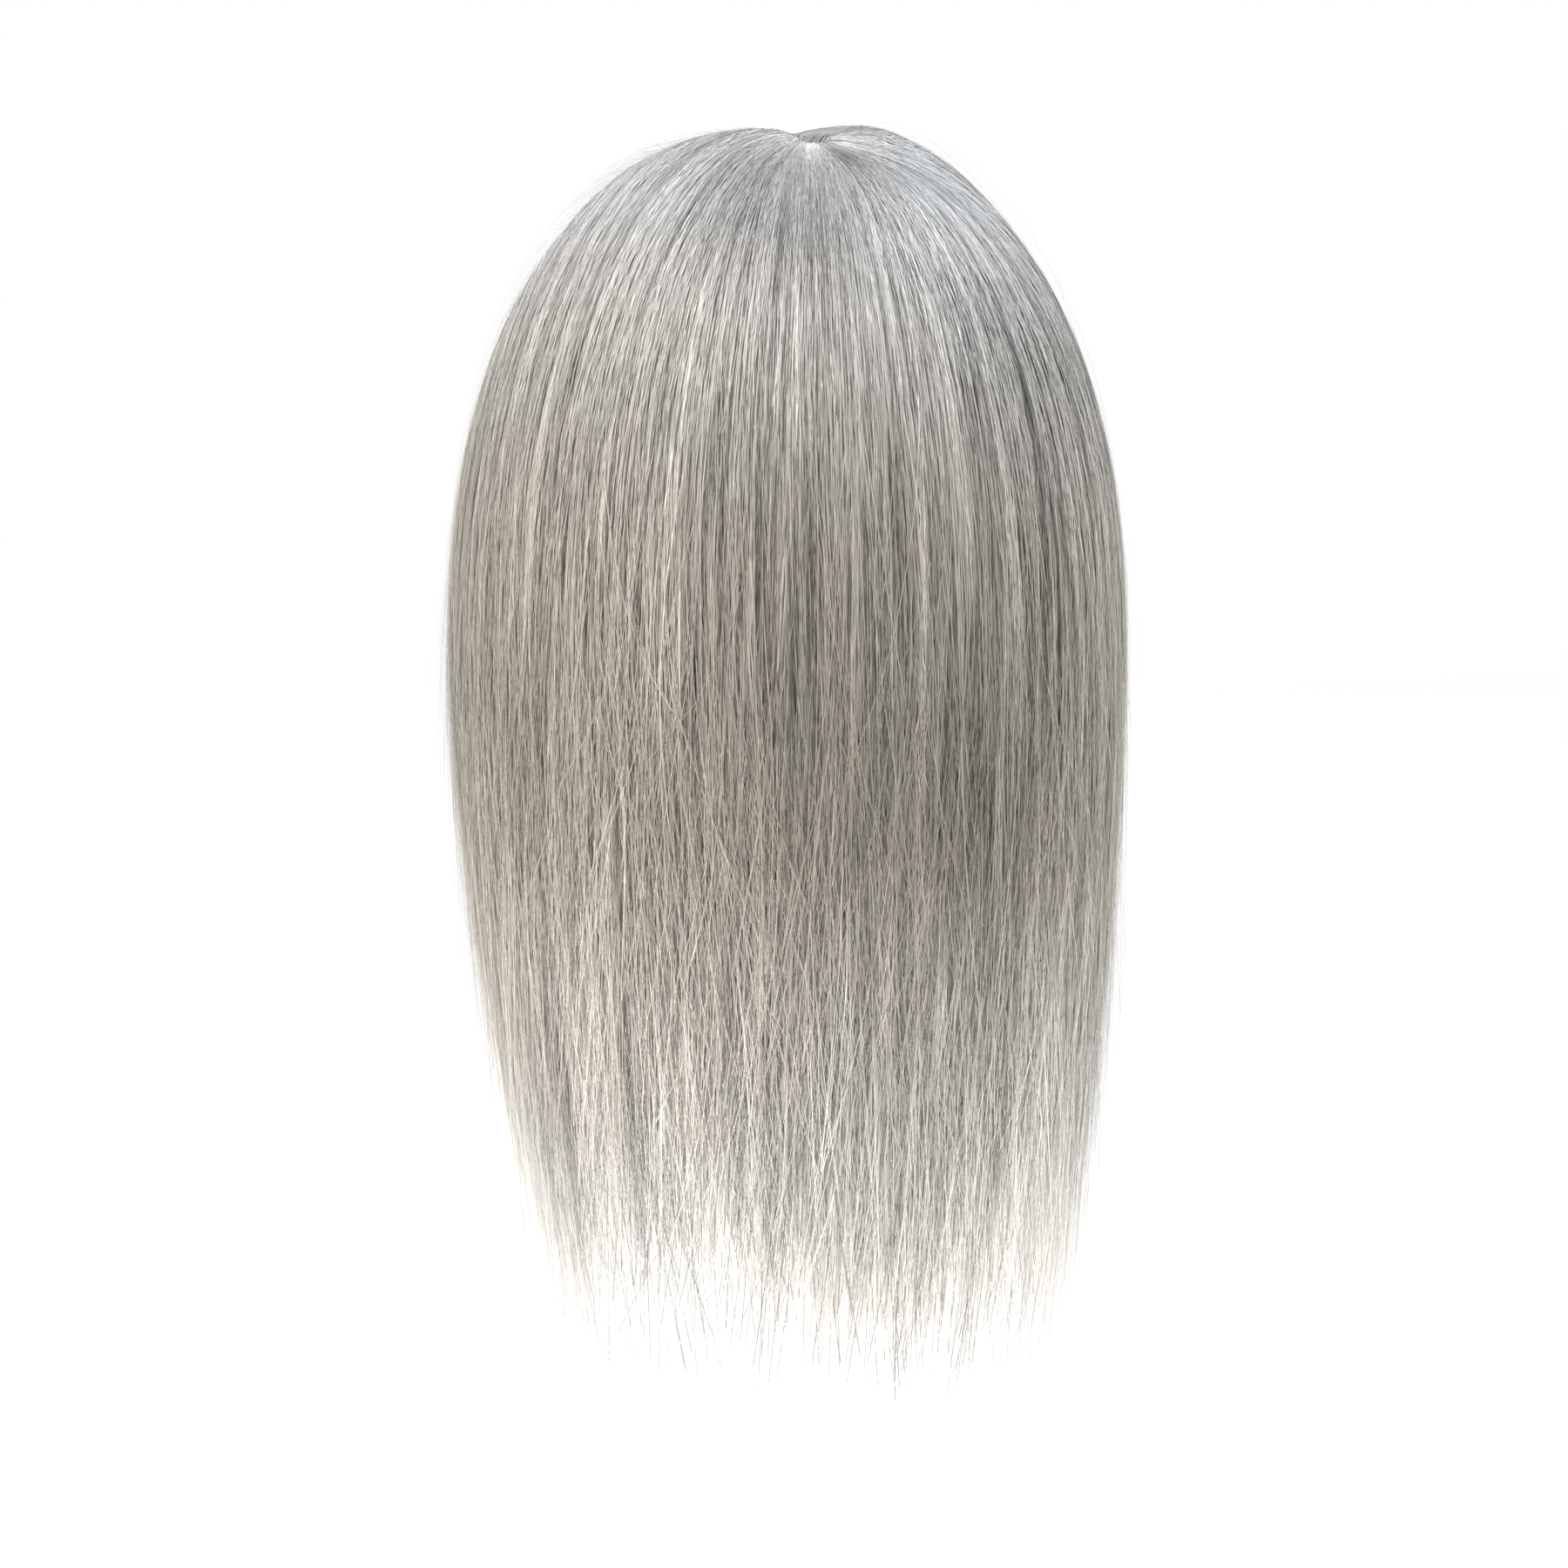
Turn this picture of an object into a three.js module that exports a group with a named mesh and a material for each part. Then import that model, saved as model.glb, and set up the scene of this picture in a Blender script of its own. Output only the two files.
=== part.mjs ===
// A hair topper: straight grey hair in overlapping locks on a small domed base, parted in the
// middle from the front edge to a whorl at the crown, worn over the top of the head.
// Millimetres, +Z up. +X is the wearer's left and +Y the back of the head. The origin is the point
// on the crown of the head where the middle of the base sits.
import * as THREE from "three";

// The crown that the base and the hollow are shaped to.
const HEAD = { halfBreadth: 76, halfLength: 95, crownHeight: 105, fullness: 2.3 };

// The outer form of the hair, from the crown down to its widest level and on to the tips.
const HAIR = { halfWidth: 95.5, halfDepth: 115.5, widestLevel: -139, fullness: 2.2 };

// How far the hair stands off the head round it, the distance from the roots that it takes to get
// there, and how steeply. Angle 0 is the back, 90 the wearer's left.
const LIFTS = [
  { angle: -134, lift: 8, bank: 16, power: 2 },
  { angle: -100, lift: 16.5, bank: 16, power: 2 },
  { angle: -75, lift: 16.5, bank: 16, power: 2 },
  { angle: -55, lift: 10, bank: 14, power: 1.3 },
  { angle: -35, lift: 5, bank: 16, power: 1 },
  { angle: 35, lift: 5, bank: 16, power: 1 },
  { angle: 55, lift: 8, bank: 12, power: 1 },
  { angle: 75, lift: 12.5, bank: 6, power: 1 },
  { angle: 100, lift: 12.5, bank: 6, power: 1 },
  { angle: 134, lift: 7.5, bank: 6, power: 1 },
];
const ROOT_LIFT = 9;

// The hollow form under the hair, from the base down to the same level.
const HOLLOW = { halfWidth: 81.5, halfDepth: 101.5, fullness: 2.3 };
const WALL_AT_WIDEST = 14;
const WALL_AT_TIPS = 4;
const WALL_FADE_DROP = 190;

// The parting: a narrow bare strip along the middle of the base, with hair rising on each side.
const PARTING = { frontY: -78, whorlY: 15, halfWidth: 1.2 };
const FAN_ANGLE = 70;
const EDGE_ANGLE = 134;

// The hanging hair draws in towards the neck, by a share of its distance from the middle.
const DRAW_IN = { back: 0.12, backAngle: 60, front: 0.19, frontAngle: 120, overDrop: 150, power: 1.6 };

// Level of the lock tips round the head. Angle 0 is the back, 90 the wearer's left.
const TIP_LEVELS = [
  { angle: -134, tip: -302 },
  { angle: -90, tip: -314 },
  { angle: -45, tip: -318 },
  { angle: 0, tip: -326 },
  { angle: 45, tip: -330 },
  { angle: 75, tip: -322 },
  { angle: 90, tip: -310 },
  { angle: 134, tip: -302 },
];

// Places where the ends hang thinner, so that the notches between the locks run higher.
const THIN_ZONES = [
  { angle: 58, spread: 17, rise: 42 },
  { angle: -17, spread: 6, rise: 46 },
];

// Each panel of hair holds the same number of locks, side by side.
const PANELS = [
  { name: "hair_right", from: -EDGE_ANGLE, to: -EDGE_ANGLE / 3 },
  { name: "hair_back", from: -EDGE_ANGLE / 3, to: EDGE_ANGLE / 3 },
  { name: "hair_left", from: EDGE_ANGLE / 3, to: EDGE_ANGLE },
];
const LOCKS_PER_PANEL = 12;
const LOCK = { widthSpread: 0.4, valley: 3.2, valleySpread: 2.4, setBack: 2, fullShare: 0.4, pinch: 0.45 };
const LOCK_TIP = { notch: 24, notchSpread: 16, levelSpread: 11 };
const PANEL_GAP = 0.6;

// Columns across one lock after the valley before it: place as a share of its width, depth as a
// share of the valley, and rise as a share of the notch.
const LOCK_COLUMNS = [
  { place: -0.24, depth: 0.28, rise: 0.34 },
  { place: 0, depth: 0, rise: 0 },
  { place: 0.24, depth: 0.28, rise: 0.34 },
];
const DOME_ROWS = [0, 0.035, 0.075, 0.13, 0.21, 0.32, 0.46, 0.63, 0.82, 1];
const HANG_ROWS = [0.26, 0.5, 0.7, 0.85, 0.95, 1];

// The base: a thin domed cap under the hair.
const BASE = { halfWidth: 56, halfLength: 68, middleY: -8, wall: 1.4, cells: 16 };
const HAIR_SEAT = 2.4;

// Plain clips under the base, one in the middle of each side.
const CLIP = { length: 32, width: 10, thickness: 1.6, gap: 0.5, inset: 9, stations: 9, endTurn: 85 };
const CLIPS = [
  { name: "clip_front", angle: 180 },
  { name: "clip_back", angle: 0 },
  { name: "clip_left", angle: 90 },
  { name: "clip_right", angle: -90 },
];

const GREY_HAIR = { color: 0xa8a49b, roughness: 0.55, metalness: 0 };
const PALE_CLOTH = { color: 0xd9cfc2, roughness: 0.9, metalness: 0 };
const BRIGHT_STEEL = { color: 0x8d8d8f, roughness: 0.35, metalness: 0.9 };

const radians = THREE.MathUtils.degToRad;
const smooth = THREE.MathUtils.smoothstep;

// Pseudo-random numbers from 0 to 1, the same on every run.
function randomSource(seed) {
  let state = seed;
  return () => {
    state = (state + 0x6d2b79f5) | 0;
    let mixed = Math.imul(state ^ (state >>> 15), state | 1);
    mixed ^= mixed + Math.imul(mixed ^ (mixed >>> 7), mixed | 61);
    return ((mixed ^ (mixed >>> 14)) >>> 0) / 4294967296;
  };
}

// Height of the head at a place in plan, for a head grown outwards by some distance. Beside the head
// there is nothing to stand on.
function headHeight(x, y, grown = 0) {
  const height = HEAD.crownHeight + grown;
  const across = Math.hypot(x / (HEAD.halfBreadth + grown), y / (HEAD.halfLength + grown));
  if (across >= 1) return -Infinity;
  return height * (1 - across ** HEAD.fullness) ** (1 / HEAD.fullness) - HEAD.crownHeight;
}

// A column of a table, read at an angle between its rows.
function readTable(table, angle, column) {
  const after = table.findIndex((row) => row.angle >= angle);
  const next = after < 0 ? table.length - 1 : Math.max(1, after);
  const [low, high] = [table[next - 1], table[next]];
  const share = THREE.MathUtils.clamp((angle - low.angle) / (high.angle - low.angle), 0, 1);
  return THREE.MathUtils.lerp(low[column], high[column], share);
}

// Where the hair at an angle leaves the parting, in plan.
function rootOf(angle) {
  const forward = THREE.MathUtils.clamp((Math.abs(angle) - FAN_ANGLE) / (EDGE_ANGLE - FAN_ANGLE), 0, 1);
  const turn = radians(THREE.MathUtils.clamp(angle * (90 / FAN_ANGLE), -90, 90));
  const middleY = THREE.MathUtils.lerp(PARTING.whorlY, PARTING.frontY, forward);
  return new THREE.Vector2(Math.sin(turn), Math.cos(turn))
    .multiplyScalar(PARTING.halfWidth)
    .add(new THREE.Vector2(0, middleY));
}

// A point on a dome that runs from the parting out to the widest level, at a share of the way down.
function domePoint(angle, share, form, lift) {
  const root = rootOf(angle);
  const rim = new THREE.Vector2(
    form.halfWidth * Math.sin(radians(angle)),
    form.halfDepth * Math.cos(radians(angle)),
  );
  const turn = (share * Math.PI) / 2;
  const reach = Math.sin(turn) ** (2 / form.fullness);
  const stand = share < 1 ? Math.cos(turn) ** (2 / form.fullness) : 0;
  const plan = root.clone().lerp(rim, reach);
  const top = headHeight(root.x, root.y) + lift;
  return {
    point: new THREE.Vector3(plan.x, plan.y, THREE.MathUtils.lerp(HAIR.widestLevel, top, stand)),
    fromParting: reach * root.distanceTo(rim),
  };
}

// The hair's outer surface: the dome, brought to one height along the roots, then the hanging lengths.
function outerPoint(angle, share, drop) {
  const [lift, bank, power] = ["lift", "bank", "power"].map((column) => readTable(LIFTS, angle, column));
  const { point, fromParting } = domePoint(angle, share, HAIR, lift);
  point.z -= (lift - ROOT_LIFT) * Math.exp(-((fromParting / bank) ** power));
  return hang(point, angle, drop, 0);
}

// The hollow's surface under the hair, which lies on the base and hangs clear below the head.
function innerPoint(angle, share, drop) {
  const { point } = domePoint(angle, share, HOLLOW, HAIR_SEAT);
  point.z = Math.max(point.z, headHeight(point.x, point.y, HAIR_SEAT));
  const thinned = (WALL_AT_WIDEST - WALL_AT_TIPS) * Math.min(drop / WALL_FADE_DROP, 1);
  return hang(point, angle, drop, thinned);
}

// Lowers a point by a drop: first moved out by a distance, then drawn in towards the neck.
function hang(point, angle, drop, outward) {
  const side = smooth(Math.abs(angle), DRAW_IN.backAngle, DRAW_IN.frontAngle);
  const share = THREE.MathUtils.lerp(DRAW_IN.back, DRAW_IN.front, side);
  const radius = Math.hypot(point.x, point.y);
  const scale = (1 + outward / radius) * (1 - share * (drop / DRAW_IN.overDrop) ** DRAW_IN.power);
  return new THREE.Vector3(point.x * scale, point.y * scale, point.z - drop);
}

// How much higher the notches run at an angle, because the ends hang thinner there.
function thinRise(angle) {
  const rises = THIN_ZONES.map((zone) => zone.rise * Math.exp(-(((angle - zone.angle) / zone.spread) ** 2)));
  return Math.max(...rises);
}

// The locks of a panel: each one's middle and width, how far it is set back, the valley and the
// notch before it, and the level of its tip.
function locksOf(panel, random) {
  const spans = Array.from({ length: LOCKS_PER_PANEL }, () => 1 + LOCK.widthSpread * (2 * random() - 1));
  const total = spans.reduce((sum, span) => sum + span, 0);
  let edge = panel.from;
  return spans.map((span) => {
    const width = ((panel.to - panel.from) * span) / total;
    const angle = edge + width / 2;
    edge += width;
    return {
      angle,
      width,
      setBack: LOCK.setBack * random(),
      valley: LOCK.valley + LOCK.valleySpread * random(),
      notch: LOCK_TIP.notch + LOCK_TIP.notchSpread * random() + thinRise(angle),
      tip: readTable(TIP_LEVELS, angle, "tip") + LOCK_TIP.levelSpread * (2 * random() - 1),
    };
  });
}

// The columns of a panel, lock by lock, closed by one more valley at its far side.
function columnsOf(locks) {
  const columns = [];
  locks.forEach((lock, i) => {
    const before = locks[Math.max(i - 1, 0)];
    columns.push({
      middle: lock.angle,
      offset: -lock.width / 2,
      pinch: 0,
      relief: lock.valley + (lock.setBack + before.setBack) / 2,
      tip: (lock.tip + before.tip) / 2 + lock.notch,
    });
    for (const { place, depth, rise } of LOCK_COLUMNS) {
      columns.push({
        middle: lock.angle,
        offset: place * lock.width,
        pinch: LOCK.pinch,
        relief: lock.valley * depth + lock.setBack,
        tip: lock.tip + lock.notch * rise,
      });
    }
  });
  const last = locks[locks.length - 1];
  columns.push({
    middle: last.angle,
    offset: last.width / 2,
    pinch: 0,
    relief: last.valley + last.setBack,
    tip: last.tip + last.notch,
  });
  return columns;
}

// One column of a panel as two rows of points, down the outside and down the inside.
function columnPoints(column) {
  const outer = [];
  const inner = [];
  const length = HAIR.widestLevel - column.tip;
  const rows = [
    ...DOME_ROWS.map((share) => ({ share, fall: 0 })),
    ...HANG_ROWS.map((fall) => ({ share: 1, fall })),
  ];
  for (const { share, fall } of rows) {
    const angle = column.middle + column.offset * (1 - column.pinch * fall ** 3);
    const inside = innerPoint(angle, share, length * fall);
    const outside = outerPoint(angle, share, length * fall);
    const wall = outside.distanceTo(inside);
    const relief = column.relief * smooth(share, 0, LOCK.fullShare) * Math.min(1, wall / WALL_AT_WIDEST);
    outer.push(outside.lerp(inside, relief / wall));
    inner.push(inside);
  }
  return { outer, inner };
}

// Moves an edge column sideways, towards the column beside it, to leave a gap to the next panel.
function insetEdge(edge, beside, gap) {
  edge.forEach((point, row) => {
    const step = beside[row].clone().sub(point).setZ(0);
    point.add(step.setLength(Math.min(gap, step.length() / 2)));
  });
}

// A closed solid between two grids of points, with its four edges walled.
function solidBetween(outer, inner) {
  const columns = outer.length;
  const rows = outer[0].length;
  const positions = [...outer.flat(), ...inner.flat()].flatMap((p) => [p.x, p.y, p.z]);
  const out = (column, row) => column * rows + row;
  const into = (column, row) => columns * rows + out(column, row);
  const index = [];
  const quad = (a, b, c, d) => index.push(a, b, c, a, c, d);
  for (let c = 0; c + 1 < columns; c++) {
    for (let r = 0; r + 1 < rows; r++) {
      quad(out(c, r), out(c + 1, r), out(c + 1, r + 1), out(c, r + 1));
      quad(into(c, r), into(c, r + 1), into(c + 1, r + 1), into(c + 1, r));
    }
    quad(out(c, 0), into(c, 0), into(c + 1, 0), out(c + 1, 0));
    quad(out(c, rows - 1), out(c + 1, rows - 1), into(c + 1, rows - 1), into(c, rows - 1));
  }
  for (let r = 0; r + 1 < rows; r++) {
    const far = columns - 1;
    quad(out(0, r), out(0, r + 1), into(0, r + 1), into(0, r));
    quad(out(far, r), into(far, r), into(far, r + 1), out(far, r + 1));
  }
  const geometry = new THREE.BufferGeometry();
  geometry.setAttribute("position", new THREE.Float32BufferAttribute(positions, 3));
  geometry.setIndex(index);
  geometry.computeVertexNormals();
  return geometry;
}

// A named mesh with a material of its own.
function piece(name, geometry, finish) {
  const mesh = new THREE.Mesh(geometry, new THREE.MeshStandardMaterial(finish));
  mesh.name = name;
  return mesh;
}

// One panel of hair: its locks fused into one wall that lies over the base and hangs to the tips.
function hairPanel(panel, random) {
  const columns = columnsOf(locksOf(panel, random)).map(columnPoints);
  for (const side of ["outer", "inner"]) {
    const edges = columns.map((column) => column[side]);
    insetEdge(edges[0], edges[1], PANEL_GAP / 2);
    insetEdge(edges[edges.length - 1], edges[edges.length - 2], PANEL_GAP / 2);
  }
  const geometry = solidBetween(
    columns.map((column) => column.outer),
    columns.map((column) => column.inner),
  );
  return piece(panel.name, geometry, GREY_HAIR);
}

// The base: a round-cornered grid laid on the head and thickened outwards.
function baseCap() {
  const outer = [];
  const inner = [];
  for (let i = 0; i <= BASE.cells; i++) {
    const across = (2 * i) / BASE.cells - 1;
    const outerColumn = [];
    const innerColumn = [];
    for (let j = 0; j <= BASE.cells; j++) {
      const along = (2 * j) / BASE.cells - 1;
      const x = BASE.halfWidth * across * Math.sqrt(1 - along ** 2 / 2);
      const y = BASE.middleY + BASE.halfLength * along * Math.sqrt(1 - across ** 2 / 2);
      outerColumn.push(new THREE.Vector3(x, y, headHeight(x, y, BASE.wall)));
      innerColumn.push(new THREE.Vector3(x, y, headHeight(x, y)));
    }
    outer.push(outerColumn);
    inner.push(innerColumn);
  }
  return piece("base_cap", solidBetween(outer, inner), PALE_CLOTH);
}

// One clip: a plain plate with round ends, lying along the rim and bent to the head.
function clip({ name, angle }) {
  const outward = new THREE.Vector2(Math.sin(radians(angle)), Math.cos(radians(angle)));
  const along = new THREE.Vector2(outward.y, -outward.x);
  const middle = new THREE.Vector2(
    (BASE.halfWidth - CLIP.inset) * outward.x,
    BASE.middleY + (BASE.halfLength - CLIP.inset) * outward.y,
  );
  const slope = headHeight(...middle) - headHeight(middle.x + outward.x, middle.y + outward.y);
  const halfWidth = CLIP.width / 2;
  const straight = CLIP.length / 2 - halfWidth;
  const top = [];
  const under = [];
  for (let i = 0; i < CLIP.stations; i++) {
    const turn = radians(CLIP.endTurn) * ((2 * i) / (CLIP.stations - 1) - 1);
    const reach = (Math.sin(turn) * CLIP.length) / 2;
    const past = Math.max(0, Math.abs(reach) - straight);
    const half = Math.sqrt(halfWidth ** 2 - past ** 2) / Math.hypot(1, slope);
    const station = middle.clone().addScaledVector(along, reach);
    const edge = (side, depth) => {
      const { x, y } = station.clone().addScaledVector(outward, side * half);
      return new THREE.Vector3(x, y, headHeight(x, y, -depth));
    };
    top.push([-1, 1].map((side) => edge(side, CLIP.gap)));
    under.push([-1, 1].map((side) => edge(side, CLIP.gap + CLIP.thickness)));
  }
  return piece(name, solidBetween(top, under), BRIGHT_STEEL);
}

const topper = new THREE.Group();
const random = randomSource(7);
topper.add(baseCap());
for (const panel of PANELS) topper.add(hairPanel(panel, random));
for (const place of CLIPS) topper.add(clip(place));

export default topper;
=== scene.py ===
"""Looks of a straight grey hair topper: its strands, base net and clips, with stage, lights and camera.

Sizes of the hair are in millimetres and become metres where a mesh is made. +X is the wearer's left
and +Y the back of the head. Angles round the head are in degrees: 0 is the back, 90 the wearer's left.
"""
import math

import bpy
import numpy as np
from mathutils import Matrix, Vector


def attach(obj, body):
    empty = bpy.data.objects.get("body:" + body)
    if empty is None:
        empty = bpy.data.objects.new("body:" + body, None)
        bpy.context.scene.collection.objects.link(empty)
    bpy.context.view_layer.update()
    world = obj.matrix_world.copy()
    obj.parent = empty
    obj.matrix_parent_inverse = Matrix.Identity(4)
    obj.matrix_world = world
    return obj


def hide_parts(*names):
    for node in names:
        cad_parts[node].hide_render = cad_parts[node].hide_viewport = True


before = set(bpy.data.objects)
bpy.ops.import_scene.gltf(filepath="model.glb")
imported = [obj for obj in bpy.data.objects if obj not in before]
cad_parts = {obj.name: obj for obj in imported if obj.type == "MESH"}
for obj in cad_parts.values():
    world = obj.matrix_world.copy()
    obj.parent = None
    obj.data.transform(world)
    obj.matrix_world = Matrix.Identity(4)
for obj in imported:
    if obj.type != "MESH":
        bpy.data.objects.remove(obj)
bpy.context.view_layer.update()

MM = 0.001
SEED = 20

# The form of the hair, as the solids have it.
HEAD = {"half_breadth": 76, "half_length": 95, "crown_height": 105, "fullness": 2.3}
OUTER = {"half_width": 95.5, "half_depth": 115.5, "fullness": 2.2}
HOLLOW = {"half_width": 81.5, "half_depth": 101.5, "fullness": 2.3}
WIDEST_LEVEL = -139
LIFTS = {
    "angle": [-134, -100, -75, -55, -35, 35, 55, 75, 100, 134],
    "lift": [8, 16.5, 16.5, 10, 5, 5, 8, 12.5, 12.5, 7.5],
    "bank": [16, 16, 16, 14, 16, 16, 12, 6, 6, 6],
    "power": [2, 2, 2, 1.3, 1, 1, 1, 1, 1, 1],
}
ROOT_LIFT = 9
HAIR_SEAT = 2.4
WALL_AT_WIDEST = 14
WALL_AT_TIPS = 4
WALL_FADE_DROP = 190
PARTING = {"front_y": -78, "whorl_y": 15, "half_width": 1.2}
FAN_ANGLE = 70
EDGE_ANGLE = 134
DRAW_IN = {"back": 0.12, "back_angle": 60, "front": 0.19, "front_angle": 120, "over_drop": 150, "power": 1.6}
TIP_LEVELS = {
    "angle": [-134, -90, -45, 0, 45, 75, 90, 134],
    "tip": [-302, -314, -318, -326, -330, -322, -310, -302],
}
THIN_ZONES = [
    {"angle": 58, "spread": 17, "rise": 42},
    {"angle": -17, "spread": 6, "rise": 46},
]
PANELS = [
    {"name": "hair_right", "from": -EDGE_ANGLE, "to": -EDGE_ANGLE / 3},
    {"name": "hair_back", "from": -EDGE_ANGLE / 3, "to": EDGE_ANGLE / 3},
    {"name": "hair_left", "from": EDGE_ANGLE / 3, "to": EDGE_ANGLE},
]
LOCK_SEED = 7
LOCKS_PER_PANEL = 12
LOCK = {"width_spread": 0.4, "valley": 3.2, "valley_spread": 2.4, "set_back": 2, "full_share": 0.4}
LOCK_TIP = {"notch": 24, "notch_spread": 16, "level_spread": 11}
LOCK_PROFILE = {"place": [0, 0.24, 0.5], "depth": [0, 0.28, 1], "rise": [0, 0.34, 1]}

# The strands. Each one is a ribbon whose normals are rounded across it. Its steps are close together at the
# root and even further down.
STRANDS_PER_PIECE = 4900
STEPS = np.concatenate([[0, 0.02, 0.05, 0.1], np.linspace(0.16, 1, 13)])
STEP_JITTER = 0.4
DOME_LENGTH = 195
WHOLE_LENGTH = 385
WISPS_PER_PANEL = 110
WISP = {
    "place_from": 0.15,
    "place_to": 0.85,
    "overlap": 2.2,
    "pull": 0.3,
    "pull_from": 0.15,
    "inset": 0.2,
    "tip_spread": 14,
    "tone_spread": 0.04,
}
STRAND = {
    "width": 0.265,
    "width_spread": 0.22,
    "dark_width": 0.8,
    "under_width": 1.35,
    "tip_width": 0.5,
    "dark_tip_width": 0.8,
    "tip_from": 0.55,
    "root_width": 0.75,
    "root_to": 0.12,
    "round": 24,
    "streak": 0.04,
}
TURN = {"roll": 4, "twist": 5}
LAYER = {
    "root_share": 0.7,
    "spread": 0.45,
    "spread_power": 1.2,
    "power": 2.3,
    "outer_to": 0.3,
    "under_from": 0.55,
}
RELIEF_SHARE = 0.2
MM_PER_DEGREE = 1.75
WANDER = {"root": 0.5, "length": 1.7, "full_at": 0.6, "spread": 0.5, "drift": 7, "drift_power": 1.5}
WAVES = [{"rate": 6, "size": 1}, {"rate": 13, "size": 0.6}, {"rate": 27, "size": 0.2}]
SPLAY = {"from": 0.4, "sideways": 13, "outward": 3}
WEAVE = {"depth": 0.35, "full_at": 0.3, "least": 3, "most": 6.5, "outermost": -0.4}
PATCHES = {"count": 40, "across": 1.8, "along": 16, "tone": 0.12, "depth": 0.25, "from": 0.1, "full_at": 0.4}
PANEL_OVERLAP = 1.3
EDGE_SPREAD = 2.5
EDGE_GAP = 0.3
ROOTS = {"reach": 0.5, "side_power": 2.4, "fan_power": 1.1, "fade_before": 25, "fade_after": 5}
RISE = {"parting": 0.025, "base": 0.1, "base_from": 0.15}
NORMAL_STEP = {"angle": 0.5, "path": 1.5}
FLYAWAY = {
    "share": 0.01,
    "arc_share": 0.05,
    "arc_angle": 92,
    "arc_spread": 25,
    "stand": 5,
    "stand_power": 1.5,
    "rise": 0.16,
    "settle": 0.6,
    "settle_from": 0.2,
    "settle_to": 0.5,
    "wander": 4,
    "width": 0.13,
}
FLICK = {"from": 0.74, "size": 4.5, "most": 4, "freedom": 3}

# Painted light and shade, laid into the tone: pale shoulders that are painted highlights beside a crown
# darkened with painted shade, a pale tuft at the whorl with a painted shadow beside it, darker stretches down
# the back and both sides that are partly painted shade, and pale strips in the ends.
PAINTED_LIGHT_AND_SHADE = [
    {"angle": 34, "spread": 30, "along": 0.15, "reach": 0.11, "tone": -0.5},
    {"angle": 102, "spread": 27, "along": 0.12, "reach": 0.11, "tone": 0.52},
    {"angle": -14, "spread": 17, "along": 0.16, "reach": 0.08, "tone": 0.22},
    {"angle": -52, "spread": 24, "along": 0.11, "reach": 0.09, "tone": 0.26},
    {"angle": -16, "spread": 15, "along": 0.28, "reach": 0.09, "tone": -0.56},
    {"angle": -52, "spread": 14, "along": 0.3, "reach": 0.09, "tone": -0.36},
    {"angle": 28, "spread": 11, "along": 0, "reach": 0.08, "tone": 0.5},
    {"angle": 4, "spread": 10, "along": 0.06, "reach": 0.035, "tone": -0.65},
    {"angle": 60, "spread": 26, "along": 0.38, "reach": 0.13, "tone": -0.18},
    {"angle": 80, "spread": 16, "along": 0.56, "reach": 0.14, "tone": -0.14},
    {"angle": 30, "spread": 11, "along": 0.52, "reach": 0.13, "tone": -0.2},
    {"angle": 4, "spread": 9, "along": 0.6, "reach": 0.1, "tone": -0.2},
    {"angle": -10, "spread": 9, "along": 0.47, "reach": 0.1, "tone": -0.2},
    {"angle": 80, "spread": 26, "along": 0.9, "reach": 0.12, "tone": -0.16},
    {"angle": -50, "spread": 24, "along": 0.85, "reach": 0.14, "tone": -0.2},
    {"angle": -112, "spread": 38, "along": 0.08, "reach": 0.12, "tone": -0.26},
    {"angle": 18, "spread": 18, "along": 0.34, "reach": 0.07, "tone": 0.14},
    {"angle": 71, "spread": 3, "along": 0.8, "reach": 0.1, "tone": 0.24},
    {"angle": 53, "spread": 5, "along": 0.83, "reach": 0.1, "tone": 0.2},
    {"angle": -21, "spread": 3, "along": 0.82, "reach": 0.12, "tone": 0.14},
]

# Hair colours, dark strands to light ones, and how the two kinds lie on that scale. The under layers have
# few dark ones. Along a strand the tone comes and goes in dashes, which fade towards the ends. A row of
# colours is a place on the scale and the colour there.
DARK = {
    "share": 0.17,
    "under_share": 0.03,
    "from": 0.2,
    "to": 0.34,
    "end_tone": 0.65,
    "end_from": 0.6,
    "end_to": 0.85,
    "end_stand": 1.5,
    # the share of the painted light and shade that dark strands take
    "shade": 0.5,
}
LIGHT = {"from": 0.6, "to": 0.8}
DASH = {"length": 5.5, "tone": 0.8, "apart": 400, "fade_from": 0.7, "fade_to": 0.88, "end_share": 0.25}
TONES = [
    (0.0, (0.05, 0.046, 0.042)),
    (0.2, (0.1, 0.091, 0.081)),
    (0.32, (0.19, 0.175, 0.157)),
    (0.42, (0.25, 0.233, 0.21)),
    (0.55, (0.31, 0.298, 0.283)),
    (0.68, (0.352, 0.333, 0.302)),
    (0.8, (0.39, 0.379, 0.363)),
    (0.9, (0.455, 0.435, 0.402)),
    (1.0, (0.6, 0.586, 0.563)),
]

# The tint along the hair: cool at the roots and darker there, which is painted shade over the crown; warmer
# in the lengths; paler towards the ends, partly painted light.
TINTS_AND_PAINTED_LIGHT = [
    (0.0, (0.7, 0.72, 0.74)),
    (0.05, (0.53, 0.56, 0.6)),
    (0.13, (0.53, 0.565, 0.63)),
    (0.2, (0.755, 0.79, 0.86)),
    (0.3, (0.93, 0.935, 0.945)),
    (0.45, (0.88, 0.84, 0.77)),
    (0.55, (0.78, 0.735, 0.655)),
    (0.65, (0.86, 0.805, 0.71)),
    (0.78, (1.32, 1.28, 1.215)),
    (0.9, (1.66, 1.645, 1.615)),
    (1.0, (1.75, 1.74, 1.715)),
]

HAIR = {"dark_roughness": 0.42, "light_roughness": 0.5, "specular": 1.0}

# Where each strand lies on the sheet that its colours are laid out on.
SHEET = {"margin": 0.02, "tone_span": 0.95, "half_width": 0.004, "along_span": 0.9}

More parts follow.
